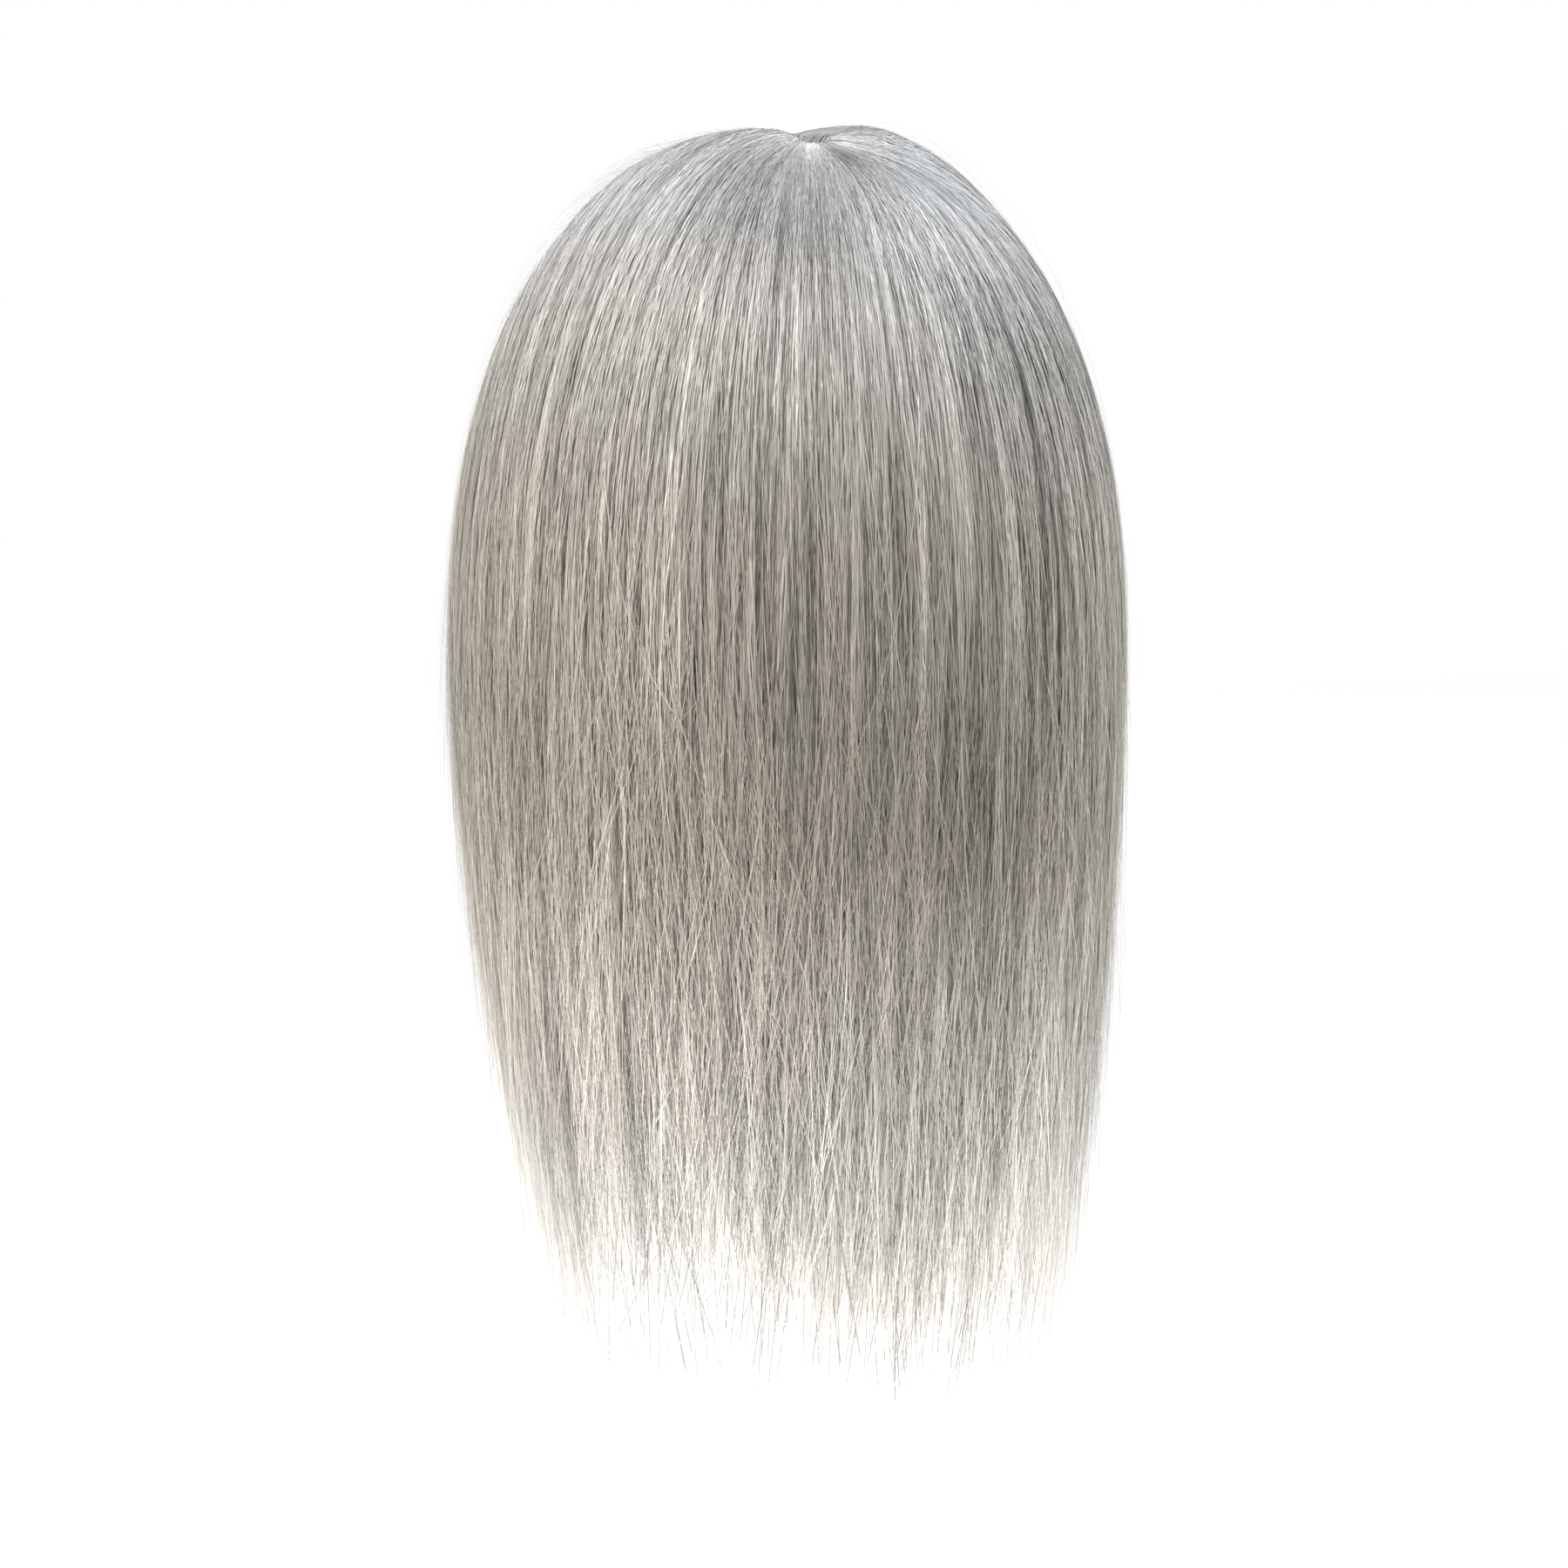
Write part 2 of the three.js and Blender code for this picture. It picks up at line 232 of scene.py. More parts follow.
# How the ends thin out: the share of the strands left at each height over the tips.
ENDS = {
    "left": [0, 0.05, 0.14, 0.28, 0.48, 0.72, 0.92, 1],
    "height": [-42, -20, 0, 22, 50, 80, 112, 145],
    "dark_drop": 12,
    "thin_rise": 26,
    "least_rise": 0.2,
    "notch_share": 0.3,
    "lowest": -353,
}

# Strips where the ends hang higher or, with a negative rise, lower.
THIN_STRIPS = [
    {"angle": 90, "spread": 12, "rise": -30},
    {"angle": 71, "spread": 3.5, "rise": 40},
    {"angle": 52, "spread": 6, "rise": 24},
    {"angle": -20, "spread": 3.5, "rise": 24},
]

# The base and the clips.
NET = {
    "turns": (45, -45),
    "scale": 260,
    "colors": [(0.35, (0.46, 0.39, 0.32)), (0.85, (0.74, 0.68, 0.6))],
    "bump": 0.6,
    "bump_depth": 0.0004,
    "roughness": 0.85,
}
STEEL = {
    "scale": 900,
    "detail": 4,
    "colors": [(0.3, (0.22, 0.22, 0.23)), (0.7, (0.36, 0.36, 0.37))],
    "least_roughness": 0.25,
    "most_roughness": 0.42,
}

# The view: behind the wearer, to their left and a little above.
VIEW = {"azimuth": 150, "elevation": 5, "distance": 1.7, "frame": 0.468, "middle": (0, 0, -0.183)}
SENSOR = 36

# The floor, in metres: darker near the middle, where the lights fall, so that it looks evenly white. A glow
# under the hair lights it from below.
FLOOR = {"level": -0.5, "half": 4}
FLOOR_SHADE = {"near": 0.6, "far": 3.2, "near_value": 0.41, "far_value": 0.97}
FLOOR_GLOW = {"near": 0.4, "far": 0.75, "near_value": 2.6, "far_value": 0}
FLOOR_ROUGHNESS = 0.9

WARM = (1, 0.96, 0.895)
COOL = (0.94, 0.97, 1)
LIGHTS = {
    "key": {"azimuth": 85, "elevation": 50, "distance": 1.7, "size": 0.7, "power": 30, "color": WARM},
    "low_left": {"azimuth": 65, "elevation": 12, "distance": 1.8, "size": 1.2, "power": 12, "color": WARM},
    "rim_right": {"azimuth": 250, "elevation": 45, "distance": 1.7, "size": 0.8, "power": 26, "color": COOL},
    "back_left": {"azimuth": 20, "elevation": 60, "distance": 1.7, "size": 0.8, "power": 14, "color": COOL},
    "back_right": {"azimuth": 275, "elevation": 60, "distance": 1.7, "size": 0.8, "power": 14, "color": COOL},
}
WORLD_STRENGTH = 1.0


def smooth(low, high, value):
    share = np.clip((value - low) / (high - low), 0, 1)
    return share * share * (3 - 2 * share)


def mix(low, high, share):
    return low + (high - low) * share


def bump(value, middle, spread):
    """1 at the middle, fading to 0 on both sides."""
    return np.exp(-(((value - middle) / spread) ** 2))


def unit(vectors):
    return vectors / np.maximum(np.linalg.norm(vectors, axis=-1, keepdims=True), 1e-9)


def random_source(seed):
    """Numbers from 0 to 1 in the same order as the solids draw theirs, so that the locks agree."""
    mask = 0xFFFFFFFF
    state = seed

    def draw():
        nonlocal state
        state = (state + 0x6D2B79F5) & mask
        mixed = ((state ^ (state >> 15)) * (state | 1)) & mask
        mixed ^= (mixed + (mixed ^ (mixed >> 7)) * (mixed | 61)) & mask
        return ((mixed ^ (mixed >> 14)) & mask) / 2**32

    return draw


def head_height(x, y, grown):
    across = np.hypot(x / (HEAD["half_breadth"] + grown), y / (HEAD["half_length"] + grown))
    stand = (1 - np.minimum(across, 1) ** HEAD["fullness"]) ** (1 / HEAD["fullness"])
    return np.where(across < 1, (HEAD["crown_height"] + grown) * stand - HEAD["crown_height"], -np.inf)


def root_of(angle):
    """Where the hair at an angle leaves the parting, in plan."""
    forward = np.clip((np.abs(angle) - FAN_ANGLE) / (EDGE_ANGLE - FAN_ANGLE), 0, 1)
    turn = np.radians(np.clip(angle * (90 / FAN_ANGLE), -90, 90))
    middle_y = mix(PARTING["whorl_y"], PARTING["front_y"], forward)
    return PARTING["half_width"] * np.sin(turn), middle_y + PARTING["half_width"] * np.cos(turn)


def dome_point(angle, share, form, lift):
    """A point of a dome from the parting to the widest level, and its distance from the parting."""
    root_x, root_y = root_of(angle)
    rim_x = form["half_width"] * np.sin(np.radians(angle))
    rim_y = form["half_depth"] * np.cos(np.radians(angle))
    turn = np.clip(share, 0, 1) * math.pi / 2
    reach = np.sin(turn) ** (2 / form["fullness"])
    stand = np.maximum(np.cos(turn), 0) ** (2 / form["fullness"])
    top = head_height(root_x, root_y, 0) + lift
    point = np.stack(
        [mix(root_x, rim_x, reach), mix(root_y, rim_y, reach), mix(WIDEST_LEVEL, top, stand)], axis=-1
    )
    return point, reach * np.hypot(rim_x - root_x, rim_y - root_y)


def hang(point, angle, drop, outward):
    """Lowers points by a drop: first moved out by a distance, then drawn in towards the neck."""
    side = smooth(DRAW_IN["back_angle"], DRAW_IN["front_angle"], np.abs(angle))
    share = mix(DRAW_IN["back"], DRAW_IN["front"], side)
    radius = np.hypot(point[..., 0], point[..., 1])
    scale = (1 + outward / radius) * (1 - share * (drop / DRAW_IN["over_drop"]) ** DRAW_IN["power"])
    return np.stack([point[..., 0] * scale, point[..., 1] * scale, point[..., 2] - drop], axis=-1)


def outer_point(angle, share, drop):
    lift = np.interp(angle, LIFTS["angle"], LIFTS["lift"])
    bank = np.interp(angle, LIFTS["angle"], LIFTS["bank"])
    power = np.interp(angle, LIFTS["angle"], LIFTS["power"])
    point, from_parting = dome_point(angle, share, OUTER, lift)
    point[..., 2] -= (lift - ROOT_LIFT) * np.exp(-((from_parting / bank) ** power))
    return hang(point, angle, drop, 0)


def inner_point(angle, share, drop):
    point, _ = dome_point(angle, share, HOLLOW, HAIR_SEAT)
    point[..., 2] = np.maximum(point[..., 2], head_height(point[..., 0], point[..., 1], HAIR_SEAT))
    thinned = (WALL_AT_WIDEST - WALL_AT_TIPS) * np.minimum(drop / WALL_FADE_DROP, 1)
    return hang(point, angle, drop, thinned)


def outer_normal(angle, path):
    """The direction straight off the outer surface, at a distance down the hair."""

    def place(turn, step):
        moved = np.maximum(path + step, 0)
        share = np.minimum(moved / DOME_LENGTH, 1)
        drop = np.maximum(moved - DOME_LENGTH, 0)
        return outer_point(angle + turn, share, drop)

    turn = NORMAL_STEP["angle"]
    step = NORMAL_STEP["path"]
    sideways = place(turn, 0) - place(-turn, 0)
    downward = place(0, step) - place(0, -step)
    return unit(np.cross(sideways, downward))


def thinness(angle):
    """How thin the ends hang at an angle, from 0 to 1, and how much higher the notches run there."""
    shares = [bump(angle, zone["angle"], zone["spread"]) for zone in THIN_ZONES]
    rises = [share * zone["rise"] for share, zone in zip(shares, THIN_ZONES)]
    return np.max(shares, axis=0), np.max(rises, axis=0)


def locks_of(panel, draw):
    """The locks of a panel as columns, drawn in the same order as the solids draw theirs."""
    spans = np.array([1 + LOCK["width_spread"] * (2 * draw() - 1) for _ in range(LOCKS_PER_PANEL)])
    shares = np.concatenate([[0], np.cumsum(spans) / spans.sum()])
    edges = panel["from"] + (panel["to"] - panel["from"]) * shares
    angle = (edges[:-1] + edges[1:]) / 2
    draws = np.array([[draw() for _ in range(4)] for _ in range(LOCKS_PER_PANEL)])
    return {
        "edges": edges,
        "angle": angle,
        "width": np.diff(edges),
        "set_back": LOCK["set_back"] * draws[:, 0],
        "valley": LOCK["valley"] + LOCK["valley_spread"] * draws[:, 1],
        "notch": LOCK_TIP["notch"] + LOCK_TIP["notch_spread"] * draws[:, 2] + thinness(angle)[1],
        "tip": np.interp(angle, TIP_LEVELS["angle"], TIP_LEVELS["tip"])
        + LOCK_TIP["level_spread"] * (2 * draws[:, 3] - 1),
    }


def end_level(tips, angle, dark, rng):
    """The level where each strand ends: few reach the tips, and fewer where the ends hang thin."""
    left = rng.uniform(0, 1, len(tips))
    height = np.interp(left, ENDS["left"], ENDS["height"]) - ENDS["dark_drop"] * dark
    strips = [strip["rise"] * bump(angle, strip["angle"], strip["spread"]) for strip in THIN_STRIPS]
    rise = ENDS["thin_rise"] * thinness(angle)[0] + np.sum(strips, axis=0)
    level = tips + height + rise * rng.uniform(ENDS["least_rise"], 1, len(tips))
    return ENDS["lowest"] + np.abs(level - ENDS["lowest"])


def smooth_field(rng):
    """A random value, about -1 to 1, that changes slowly across the hair and more slowly along it."""
    count = PATCHES["count"]
    across = rng.normal(0, PATCHES["across"], count)
    down = rng.normal(0, PATCHES["along"], count)
    phase = rng.uniform(0, 2 * math.pi, count)
    scale = math.sqrt(2 / count)

    def value(angle, along):
        return scale * sum(np.cos(a * angle + d * along + p) for a, d, p in zip(across, down, phase))

    return value


def make_strands(panel, locks, count, rng):
    """Every strand of a panel: where it starts and ends, its layer, wisp, tone and width."""
    spacing = (panel["to"] - panel["from"]) / WISPS_PER_PANEL
    wisp_place = rng.uniform(WISP["place_from"], WISP["place_to"], WISPS_PER_PANEL)
    wisp_angle = panel["from"] + spacing * (np.arange(WISPS_PER_PANEL) + wisp_place)
    wisp_tone = rng.normal(0, WISP["tone_spread"], WISPS_PER_PANEL)
    wisp_inset = rng.uniform(0, WISP["inset"], WISPS_PER_PANEL)
    wisp_tip = rng.normal(0, WISP["tip_spread"], WISPS_PER_PANEL)

    wisp = rng.integers(0, WISPS_PER_PANEL, count)
    offset = spacing * WISP["overlap"] * rng.uniform(-0.5, 0.5, count)
    offset = offset + rng.normal(0, PANEL_OVERLAP / 2, count)
    low = max(panel["from"] - PANEL_OVERLAP, EDGE_GAP - EDGE_ANGLE)
    high = min(panel["to"] + PANEL_OVERLAP, EDGE_ANGLE - EDGE_GAP)
    angle = np.clip(wisp_angle[wisp] + offset, low, high)
    lock = np.clip(np.searchsorted(locks["edges"], angle) - 1, 0, LOCKS_PER_PANEL - 1)
    place = np.minimum(np.abs(angle - locks["angle"][lock]) / locks["width"][lock], 0.5)

    fan = 1 - smooth(FAN_ANGLE - ROOTS["fade_before"], FAN_ANGLE + ROOTS["fade_after"], np.abs(angle))
    reach = ROOTS["reach"] * rng.uniform(0, 1, count) ** mix(ROOTS["side_power"], ROOTS["fan_power"], fan)
    start = np.arcsin(reach ** (OUTER["fullness"] / 2)) * 2 / math.pi
    spread = rng.uniform(0, LAYER["spread"], count) ** LAYER["spread_power"]
    layer = np.clip(LAYER["root_share"] * reach / ROOTS["reach"] + spread, 0, 1) ** LAYER["power"]

    rise = locks["notch"][lock] * np.interp(place, LOCK_PROFILE["place"], LOCK_PROFILE["rise"])
    arcs = FLYAWAY["arc_share"] * bump(angle, FLYAWAY["arc_angle"], FLYAWAY["arc_spread"])
    flyaway = rng.uniform(0, 1, count) < FLYAWAY["share"] + arcs
    layer[flyaway] = 0
    under = smooth(LAYER["outer_to"], LAYER["under_from"], layer)
    dark = (rng.uniform(0, 1, count) < mix(DARK["share"], DARK["under_share"], under)).astype(float)
    shares = rng.uniform(0, 1, count)
    light_tone = mix(LIGHT["from"], LIGHT["to"], shares)
    dark_tone = mix(DARK["from"], DARK["to"], shares)
    tone = mix(light_tone, dark_tone, dark) + wisp_tone[wisp]
    tip = end_level(locks["tip"][lock] + ENDS["notch_share"] * rise + wisp_tip[wisp], angle, dark, rng)
    width = STRAND["width"] * np.exp(rng.normal(0, STRAND["width_spread"], count))
    width = width * mix(1, STRAND["dark_width"], dark) * mix(1, STRAND["under_width"], under)
    relief = locks["valley"][lock] * np.interp(place, LOCK_PROFILE["place"], LOCK_PROFILE["depth"])
    wander = WANDER["length"] * np.exp(rng.normal(0, WANDER["spread"], count))
    return {
        "angle": angle,
        "offset": angle - wisp_angle[wisp],
        "relief": RELIEF_SHARE * (relief + locks["set_back"][lock]) + wisp_inset[wisp],
        "start": start,
        "layer": layer,
        "tip": tip,
        "tone": tone[:, None] + rng.normal(0, STRAND["streak"], (count, len(STEPS))),
        "width": np.where(flyaway, FLYAWAY["width"], width),
        "wander": np.where(flyaway, FLYAWAY["wander"], wander),
        "drift": rng.normal(0, WANDER["drift"], count),
        "sideways": rng.normal(0, SPLAY["sideways"], count),
        "outward": rng.normal(0, SPLAY["outward"], count),
        "flick": FLICK["size"] * rng.standard_t(FLICK["freedom"], count).clip(-FLICK["most"], FLICK["most"]),
        "phase": rng.uniform(0, 2 * math.pi, (count, len(WAVES) + 1)),
        "weave": rng.uniform(WEAVE["least"], WEAVE["most"], count),
        "jitter": rng.uniform(-STEP_JITTER, STEP_JITTER, count),
        "stand": np.where(flyaway, FLYAWAY["stand"] * rng.uniform(0, 1, count) ** FLYAWAY["stand_power"], 0),
        "dark": dark,
        "dash": DASH["apart"] * rng.uniform(0, 1, count),
        "roll": np.radians(TURN["roll"]) * rng.uniform(-1, 1, count),
        "twist": np.radians(TURN["twist"]) * rng.uniform(-1, 1, count),
    }


def strand_paths(strands, field):
    """Points down every strand, the outward direction there, how far along they are, and their tone."""
    column = {key: value[:, None] for key, value in strands.items() if value.ndim == 1}
    phase = strands["phase"]
    gaps = np.minimum(np.diff(STEPS, prepend=0), np.diff(STEPS, append=1))
    step = STEPS + gaps * column["jitter"]
    path = mix(column["start"] * DOME_LENGTH, DOME_LENGTH + WIDEST_LEVEL - column["tip"], step)
    share = np.minimum(path / DOME_LENGTH, 1)
    drop = np.maximum(path - DOME_LENGTH, 0)
    along = path / WHOLE_LENGTH
    ending = np.maximum(step - SPLAY["from"], 0) ** 2 / (1 - SPLAY["from"]) ** 2

    waves = 0
    for row, wave in enumerate(WAVES):
        waves = waves + wave["size"] * np.sin(wave["rate"] * along + phase[:, [row]])
    sideways = waves * mix(WANDER["root"], column["wander"], smooth(0, WANDER["full_at"], along))
    sideways = sideways + column["drift"] * along ** WANDER["drift_power"] + column["sideways"] * ending
    sideways = sideways + column["flick"] * np.maximum((step - FLICK["from"]) / (1 - FLICK["from"]), 0) ** 2
    pull = column["offset"] * WISP["pull"] * smooth(WISP["pull_from"], 1, along)
    angle = column["angle"] - pull + sideways / MM_PER_DEGREE
    angle = np.clip(angle, -EDGE_ANGLE - EDGE_SPREAD, EDGE_ANGLE + EDGE_SPREAD)

    outside = outer_point(angle, share, drop)
    inside = inner_point(angle, share, drop)
    wall = np.linalg.norm(outside - inside, axis=-1)
    outward = (outside - inside) / wall[..., None]
    thick = np.minimum(1, wall / WALL_AT_WIDEST)
    relief = column["relief"] * smooth(0, LOCK["full_share"], share) * thick
    weave = WEAVE["depth"] * np.sin(2 * math.pi * column["weave"] * along + phase[:, [-1]]) * thick
    inset = relief + column["layer"] * np.maximum(wall - relief, 0)
    inset = inset + weave * smooth(0, WEAVE["full_at"], along)
    patch = field(angle, along)
    inset = inset + PATCHES["depth"] * patch * thick * smooth(PATCHES["from"], PATCHES["full_at"], along)
    end_out = column["outward"] + DARK["end_stand"] * column["dark"]
    inset = np.maximum(inset, WEAVE["outermost"]) - end_out * ending
    settled = 1 - FLYAWAY["settle"] * smooth(FLYAWAY["settle_from"], FLYAWAY["settle_to"], along)
    inset = inset - column["stand"] * smooth(0, FLYAWAY["rise"], along) * settled
    rise = mix(RISE["parting"], RISE["base"], smooth(0, RISE["base_from"], column["start"]))
    inset = mix(wall, inset, smooth(0, 1, (share - column["start"]) / rise))
    tone = strands["tone"] - PATCHES["tone"] * patch
    dark_end = column["dark"] * smooth(DARK["end_from"], DARK["end_to"], along)
    tone = tone * mix(1, DARK["end_tone"], dark_end)
    # Painted highlights and painted shade, added to each strand's tone.
    for shade in PAINTED_LIGHT_AND_SHADE:
        off_angle = (angle - shade["angle"]) / shade["spread"]
        off_along = (along - shade["along"]) / shade["reach"]
        depth = shade["tone"] * mix(1, DARK["shade"], column["dark"])
        tone = tone + depth * np.exp(-(off_angle**2) - off_along**2)
    return outside - outward * inset[..., None], outer_normal(angle, path), along, np.clip(tone, 0, 1)


def ribbon_mesh(name, strands, field):
    """One mesh of ribbons, with their tone and place along the hair kept as attributes."""
    points, outward, along, tone = strand_paths(strands, field)
    count, steps = along.shape
    tangent = unit(np.gradient(points, axis=1))
    across = unit(np.cross(tangent, outward))
    facing = np.cross(across, tangent)
    share = np.linspace(0, 1, steps)[None, :]
    roll = strands["roll"][:, None] + strands["twist"][:, None] * share
    cos, sin = np.cos(roll)[..., None], np.sin(roll)[..., None]
    across, facing = across * cos - facing * sin, facing * cos + across * sin

    tip_width = mix(STRAND["tip_width"], STRAND["dark_tip_width"], strands["dark"])[:, None]
    root_taper = mix(STRAND["root_width"], 1, smooth(0, STRAND["root_to"], share))
    taper = root_taper * mix(1, tip_width, smooth(STRAND["tip_from"], 1, share))
    half = across * (strands["width"][:, None] * taper / 2)[..., None]
    corners = np.stack([points - half, points + half], axis=2) * MM
    bulge = math.radians(STRAND["round"])
    normals = np.stack(
        [
            facing * math.cos(bulge) - across * math.sin(bulge),
            facing * math.cos(bulge) + across * math.sin(bulge),
        ],
        axis=2,
    )

    first = (np.arange(count)[:, None] * steps + np.arange(steps - 1)[None, :]).reshape(-1) * 2
    quads = np.stack([first, first + 1, first + 3, first + 2], axis=1)
    mesh = bpy.data.meshes.new(name)
    mesh.vertices.add(count * steps * 2)
    mesh.vertices.foreach_set("co", corners.astype(np.float32).ravel())
    mesh.loops.add(quads.size)
    mesh.loops.foreach_set("vertex_index", quads.astype(np.int32).ravel())
    mesh.polygons.add(len(quads))
    mesh.polygons.foreach_set("loop_start", np.arange(0, quads.size, 4, dtype=np.int32))
    mesh.update(calc_edges=True)

    tone = np.repeat(tone.ravel(), 2)
    place = np.repeat(along.ravel(), 2)
    dash = np.repeat(strands["dash"], 2 * steps)
    for key, values in (("tone", tone), ("along", place), ("dash", dash)):
        attribute = mesh.attributes.new(key, "FLOAT", "POINT")
        attribute.data.foreach_set("value", values.astype(np.float32))
    side = np.tile([-1.0, 1.0], count * steps)
    sheet_x = SHEET["margin"] + SHEET["tone_span"] * tone + SHEET["half_width"] * side
    sheet_y = SHEET["margin"] + SHEET["along_span"] * place
    layout = np.stack([sheet_x, sheet_y], axis=1)
    bake = mesh.uv_layers.new(name="OFBake")
    bake.data.foreach_set("uv", layout[quads.ravel()].astype(np.float32).ravel())
    mesh.shade_smooth()
    mesh.normals_split_custom_set_from_vertices(normals.reshape(-1, 3).astype(np.float32))
    return mesh


def select(strands, chosen):
    return {key: value[chosen] for key, value in strands.items()}


def add_hair(material):
    """Two pieces for each panel: the strands that lie outermost, and those under them."""
    draw = random_source(LOCK_SEED)
    rng = np.random.default_rng(SEED)
    field = smooth_field(rng)
    for panel in PANELS:
        strands = make_strands(panel, locks_of(panel, draw), 2 * STRANDS_PER_PIECE, rng)
        order = np.argsort(strands["layer"], kind="stable")
        for part, chosen in (("outer", order[:STRANDS_PER_PIECE]), ("under", order[STRANDS_PER_PIECE:])):
            name = f"{panel['name']}_{part}"
            mesh = ribbon_mesh(name, select(strands, chosen), field)
            mesh.materials.append(material)
            piece = bpy.data.objects.new(name, mesh)
            bpy.context.scene.collection.objects.link(piece)
            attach(piece, "root")
            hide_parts(panel["name"])


def new_material(name):
    material = bpy.data.materials.new(name)
    material.use_nodes = True
    nodes = material.node_tree.nodes
    return material, nodes, material.node_tree.links, nodes["Principled BSDF"]


def color_ramp(nodes, stops):
    ramp = nodes.new("ShaderNodeValToRGB")
    elements = ramp.color_ramp.elements
    while len(elements) < len(stops):
        elements.new(0.5)
    for element, (position, color) in zip(elements, stops):
        element.position = position
        element.color = (*color, 1)
    return ramp


def dashes(nodes, links, along):
    """A tone that comes and goes along each strand, centred on 0."""
    strand = nodes.new("ShaderNodeAttribute")
    strand.attribute_name = "dash"
    count = nodes.new("ShaderNodeMath")
    count.operation = "MULTIPLY"
    count.inputs[1].default_value = WHOLE_LENGTH / DASH["length"]
    place = nodes.new("ShaderNodeCombineXYZ")
    noise = nodes.new("ShaderNodeTexNoise")
    noise.noise_dimensions = "2D"
    noise.inputs["Scale"].default_value = 1
    noise.inputs["Detail"].default_value = 1
    change = nodes.new("ShaderNodeMapRange")
    change.clamp = False
    change.inputs["To Min"].default_value = -DASH["tone"] / 2
    change.inputs["To Max"].default_value = DASH["tone"] / 2
    fade = nodes.new("ShaderNodeMapRange")
    fade.inputs["From Min"].default_value = DASH["fade_from"]
    fade.inputs["From Max"].default_value = DASH["fade_to"]
    fade.inputs["To Min"].default_value = 1
    fade.inputs["To Max"].default_value = DASH["end_share"]
    faded = nodes.new("ShaderNodeMath")
    faded.operation = "MULTIPLY"
    links.new(along.outputs["Fac"], count.inputs[0])
    links.new(strand.outputs["Fac"], place.inputs["X"])
    links.new(count.outputs["Value"], place.inputs["Y"])
    links.new(place.outputs["Vector"], noise.inputs["Vector"])
    links.new(noise.outputs["Fac"], change.inputs["Value"])
    links.new(along.outputs["Fac"], fade.inputs["Value"])
    links.new(change.outputs["Result"], faded.inputs[0])
    links.new(fade.outputs["Result"], faded.inputs[1])
    return faded


def hair_material():
    material, nodes, links, shader = new_material("grey_hair")
    tone = nodes.new("ShaderNodeAttribute")
    tone.attribute_name = "tone"
    along = nodes.new("ShaderNodeAttribute")
    along.attribute_name = "along"
    dashed = nodes.new("ShaderNodeMath")
    dashed.operation = "ADD"
    color = color_ramp(nodes, TONES)
    # The tint along the hair, with painted shade at the roots and painted light towards the ends.
    tint_and_light = color_ramp(nodes, TINTS_AND_PAINTED_LIGHT)
    blend = nodes.new("ShaderNodeMix")
    blend.data_type = "RGBA"
    blend.blend_type = "MULTIPLY"
    blend.clamp_result = True
    blend.inputs["Factor"].default_value = 1
    rough = nodes.new("ShaderNodeMapRange")
    rough.inputs["To Min"].default_value = HAIR["dark_roughness"]
    rough.inputs["To Max"].default_value = HAIR["light_roughness"]
    links.new(tone.outputs["Fac"], dashed.inputs[0])
    links.new(dashes(nodes, links, along).outputs["Value"], dashed.inputs[1])
    links.new(dashed.outputs["Value"], color.inputs["Fac"])
    links.new(along.outputs["Fac"], tint_and_light.inputs["Fac"])
    links.new(color.outputs["Color"], blend.inputs["A"])
    links.new(tint_and_light.outputs["Color"], blend.inputs["B"])
    links.new(blend.outputs["Result"], shader.inputs["Base Color"])
    links.new(tone.outputs["Fac"], rough.inputs["Value"])
    links.new(rough.outputs["Result"], shader.inputs["Roughness"])
    shader.inputs["Specular IOR Level"].default_value = HAIR["specular"]
    return material


def net_material():
    """Fine pale net: crossed threads about a millimetre apart."""
    material, nodes, links, shader = new_material("base_net")
    place = nodes.new("ShaderNodeTexCoord")
    threads = []
    for turn in NET["turns"]:
        turned = nodes.new("ShaderNodeMapping")
        turned.inputs["Rotation"].default_value = (0, 0, math.radians(turn))
        wave = nodes.new("ShaderNodeTexWave")
        wave.inputs["Scale"].default_value = NET["scale"]
        links.new(place.outputs["Object"], turned.inputs["Vector"])
        links.new(turned.outputs["Vector"], wave.inputs["Vector"])
        threads.append(wave)
    weave = nodes.new("ShaderNodeMath")
    weave.operation = "MAXIMUM"
    links.new(threads[0].outputs["Fac"], weave.inputs[0])
    links.new(threads[1].outputs["Fac"], weave.inputs[1])
    color = color_ramp(nodes, NET["colors"])
    relief = nodes.new("ShaderNodeBump")
    relief.inputs["Strength"].default_value = NET["bump"]
    relief.inputs["Distance"].default_value = NET["bump_depth"]
    links.new(weave.outputs["Value"], color.inputs["Fac"])
    links.new(weave.outputs["Value"], relief.inputs["Height"])
    links.new(color.outputs["Color"], shader.inputs["Base Color"])
    links.new(relief.outputs["Normal"], shader.inputs["Normal"])
    shader.inputs["Roughness"].default_value = NET["roughness"]
    return material


def steel_material():
    """Satin steel with a fine, uneven grain."""
    material, nodes, links, shader = new_material("clip_steel")
    place = nodes.new("ShaderNodeTexCoord")
    noise = nodes.new("ShaderNodeTexNoise")
    noise.inputs["Scale"].default_value = STEEL["scale"]
    noise.inputs["Detail"].default_value = STEEL["detail"]
    color = color_ramp(nodes, STEEL["colors"])
    rough = nodes.new("ShaderNodeMapRange")
    rough.inputs["To Min"].default_value = STEEL["least_roughness"]
    rough.inputs["To Max"].default_value = STEEL["most_roughness"]
    links.new(place.outputs["Object"], noise.inputs["Vector"])
    links.new(noise.outputs["Fac"], color.inputs["Fac"])
    links.new(noise.outputs["Fac"], rough.inputs["Value"])
    links.new(color.outputs["Color"], shader.inputs["Base Color"])
    links.new(rough.outputs["Result"], shader.inputs["Roughness"])
    shader.inputs["Metallic"].default_value = 1
    return material


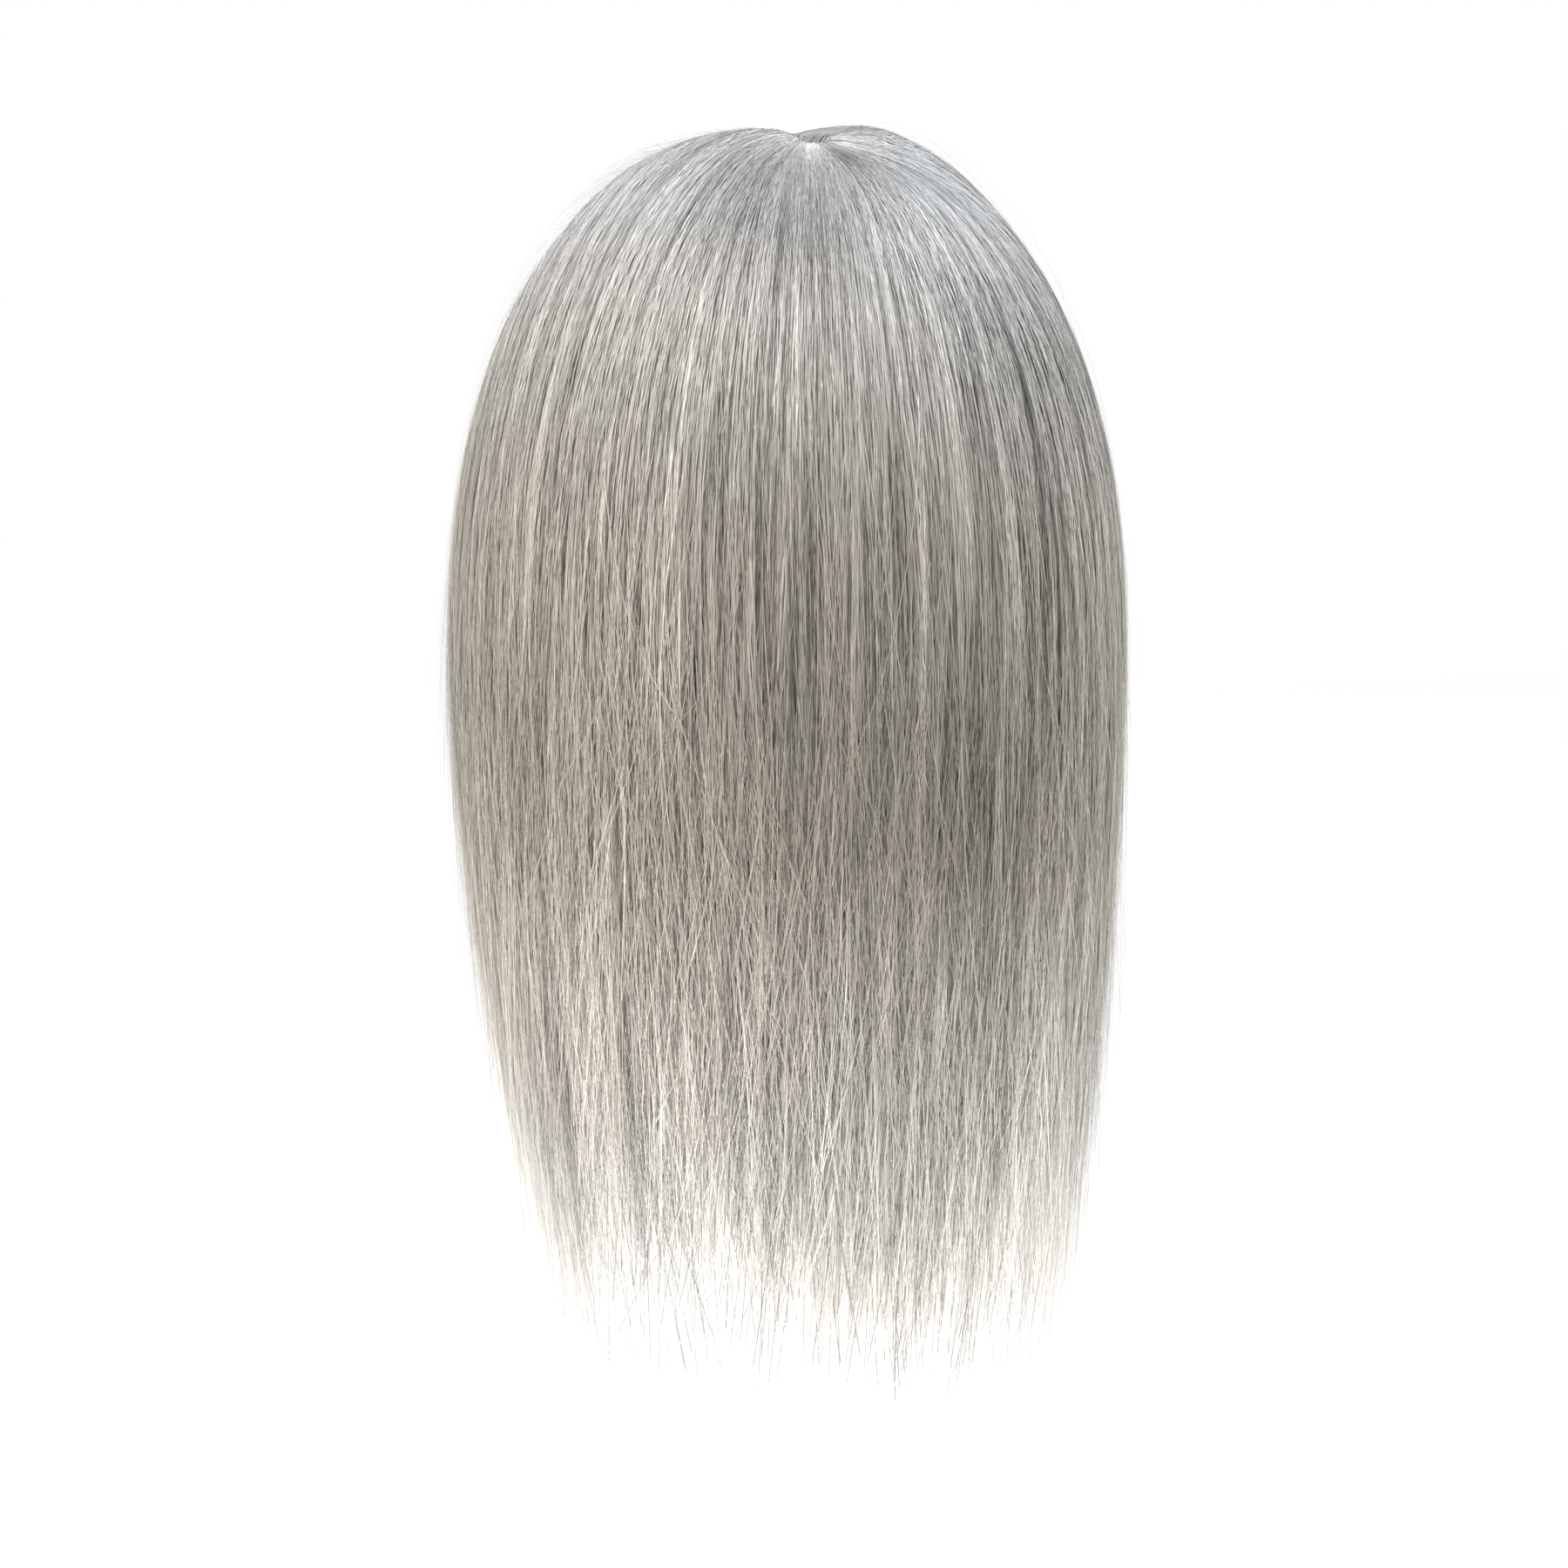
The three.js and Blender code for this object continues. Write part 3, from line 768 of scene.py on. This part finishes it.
def finish_solids():
    """The base and the clips keep their solids and get finishes."""
    net = net_material()
    steel = steel_material()
    for name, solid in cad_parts.items():
        if name.startswith("hair"):
            continue
        solid.data.materials.clear()
        solid.data.materials.append(net if name == "base_cap" else steel)


def direction(azimuth, elevation):
    turn = math.radians(azimuth)
    tilt = math.radians(elevation)
    return Vector((math.sin(turn) * math.cos(tilt), -math.cos(turn) * math.cos(tilt), math.sin(tilt)))


def aim(thing, place, target):
    thing.location = place
    thing.rotation_euler = (target - place).to_track_quat("-Z", "Y").to_euler()


def distance_map(nodes, links, row):
    """A value that changes with the distance from the middle of a piece."""
    place = nodes.new("ShaderNodeTexCoord")
    length = nodes.new("ShaderNodeVectorMath")
    length.operation = "LENGTH"
    change = nodes.new("ShaderNodeMapRange")
    change.inputs["From Min"].default_value = row["near"]
    change.inputs["From Max"].default_value = row["far"]
    change.inputs["To Min"].default_value = row["near_value"]
    change.inputs["To Max"].default_value = row["far_value"]
    links.new(place.outputs["Object"], length.inputs[0])
    links.new(length.outputs["Value"], change.inputs["Value"])
    return change.outputs["Result"]


def floor_material():
    material, nodes, links, shader = new_material("pale_floor")
    links.new(distance_map(nodes, links, FLOOR_SHADE), shader.inputs["Base Color"])
    links.new(distance_map(nodes, links, FLOOR_GLOW), shader.inputs["Emission Strength"])
    shader.inputs["Emission Color"].default_value = (1, 1, 1, 1)
    shader.inputs["Roughness"].default_value = FLOOR_ROUGHNESS
    shader.inputs["Specular IOR Level"].default_value = 0
    return material


def add_stage():
    half = FLOOR["half"]
    mesh = bpy.data.meshes.new("floor")
    corners = [(-half, -half, 0), (half, -half, 0), (half, half, 0), (-half, half, 0)]
    mesh.from_pydata(corners, [], [(0, 1, 2, 3)])
    mesh.materials.append(floor_material())
    floor = bpy.data.objects.new("floor", mesh)
    floor.location = (0, 0, FLOOR["level"])
    bpy.context.scene.collection.objects.link(floor)


def add_lights():
    target = Vector(VIEW["middle"])
    for name, row in LIGHTS.items():
        light = bpy.data.lights.new(name, "AREA")
        light.size = row["size"]
        light.energy = row["power"]
        light.color = row["color"]
        lamp = bpy.data.objects.new(name, light)
        bpy.context.scene.collection.objects.link(lamp)
        aim(lamp, target + direction(row["azimuth"], row["elevation"]) * row["distance"], target)
    world = bpy.data.worlds.new("studio")
    world.use_nodes = True
    world.node_tree.nodes["Background"].inputs["Color"].default_value = (1, 1, 1, 1)
    world.node_tree.nodes["Background"].inputs["Strength"].default_value = WORLD_STRENGTH
    bpy.context.scene.world = world
    bpy.context.scene.view_settings.view_transform = "Standard"


def add_camera():
    camera = bpy.data.cameras.new("camera")
    camera.sensor_width = SENSOR
    camera.lens = SENSOR * VIEW["distance"] / VIEW["frame"]
    seat = bpy.data.objects.new("camera", camera)
    bpy.context.scene.collection.objects.link(seat)
    target = Vector(VIEW["middle"])
    aim(seat, target + direction(VIEW["azimuth"], VIEW["elevation"]) * VIEW["distance"], target)
    bpy.context.scene.camera = seat


add_camera()
add_hair(hair_material())
finish_solids()
add_stage()
add_lights()
